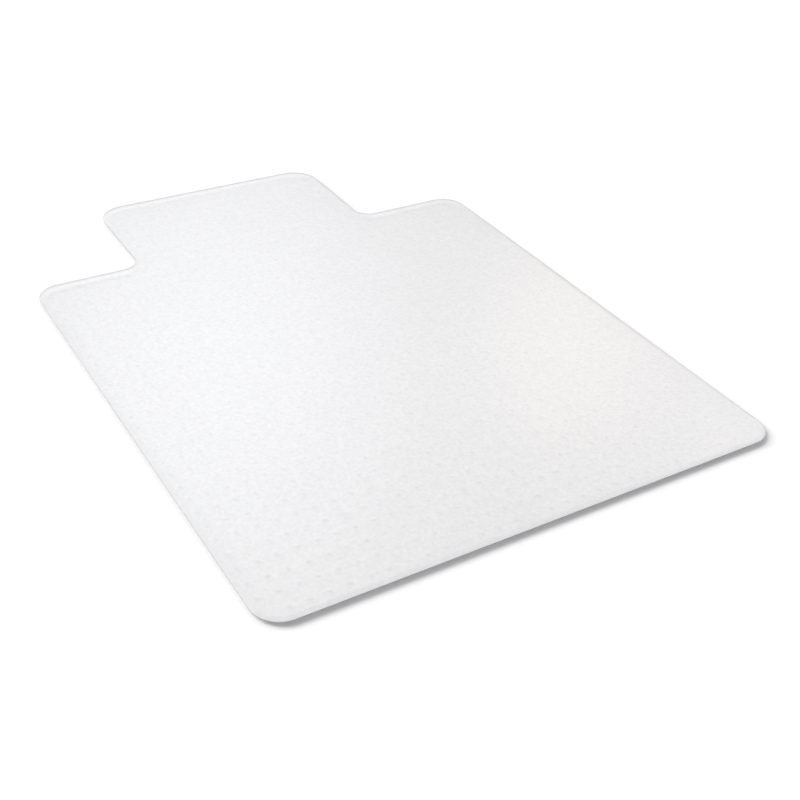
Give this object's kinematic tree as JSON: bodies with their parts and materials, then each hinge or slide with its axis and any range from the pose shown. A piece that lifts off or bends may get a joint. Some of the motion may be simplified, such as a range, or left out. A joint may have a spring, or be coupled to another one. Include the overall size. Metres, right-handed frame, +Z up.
{
  "type": "chair mat",
  "caption": "Flat translucent floor mat for an office chair, with a bevelled rim, a lip that reaches under the desk and a cleated underside that grips carpet.",
  "frame": {"origin": "under the centre of the outline, on the plane that the cleats' tips stand on", "axes": "+X to the sitter's right, +Y towards the desk, where the lip is, +Z up"},
  "size_m": [0.9144, 1.2192, 0.0078],
  "materials": {
    "sheet": "clear plastic, frosted by a fine pebbled top",
    "rim": "clear plastic, satin bevel",
    "cleats": "clear plastic, smooth as moulded"
  },
  "bodies": {
    "root": {"main_sheet": "sheet", "lip_sheet": "sheet", "front_bevel": "rim", "left_bevel": "rim", "right_bevel": "rim", "left_shoulder_bevel": "rim", "right_shoulder_bevel": "rim", "lip_left_bevel": "rim", "lip_right_bevel": "rim", "lip_end_bevel": "rim", "front_left_corner": "rim", "front_right_corner": "rim", "rear_left_corner": "rim", "rear_right_corner": "rim", "lip_left_corner": "rim", "lip_right_corner": "rim", "left_neck": "rim", "right_neck": "rim", "cleats_front_left": "cleats", "cleats_front_right": "cleats", "cleats_middle_left": "cleats", "cleats_middle_right": "cleats", "cleats_rear_left": "cleats", "cleats_rear_right": "cleats", "cleats_lip": "cleats"}
  },
  "joints": []
}
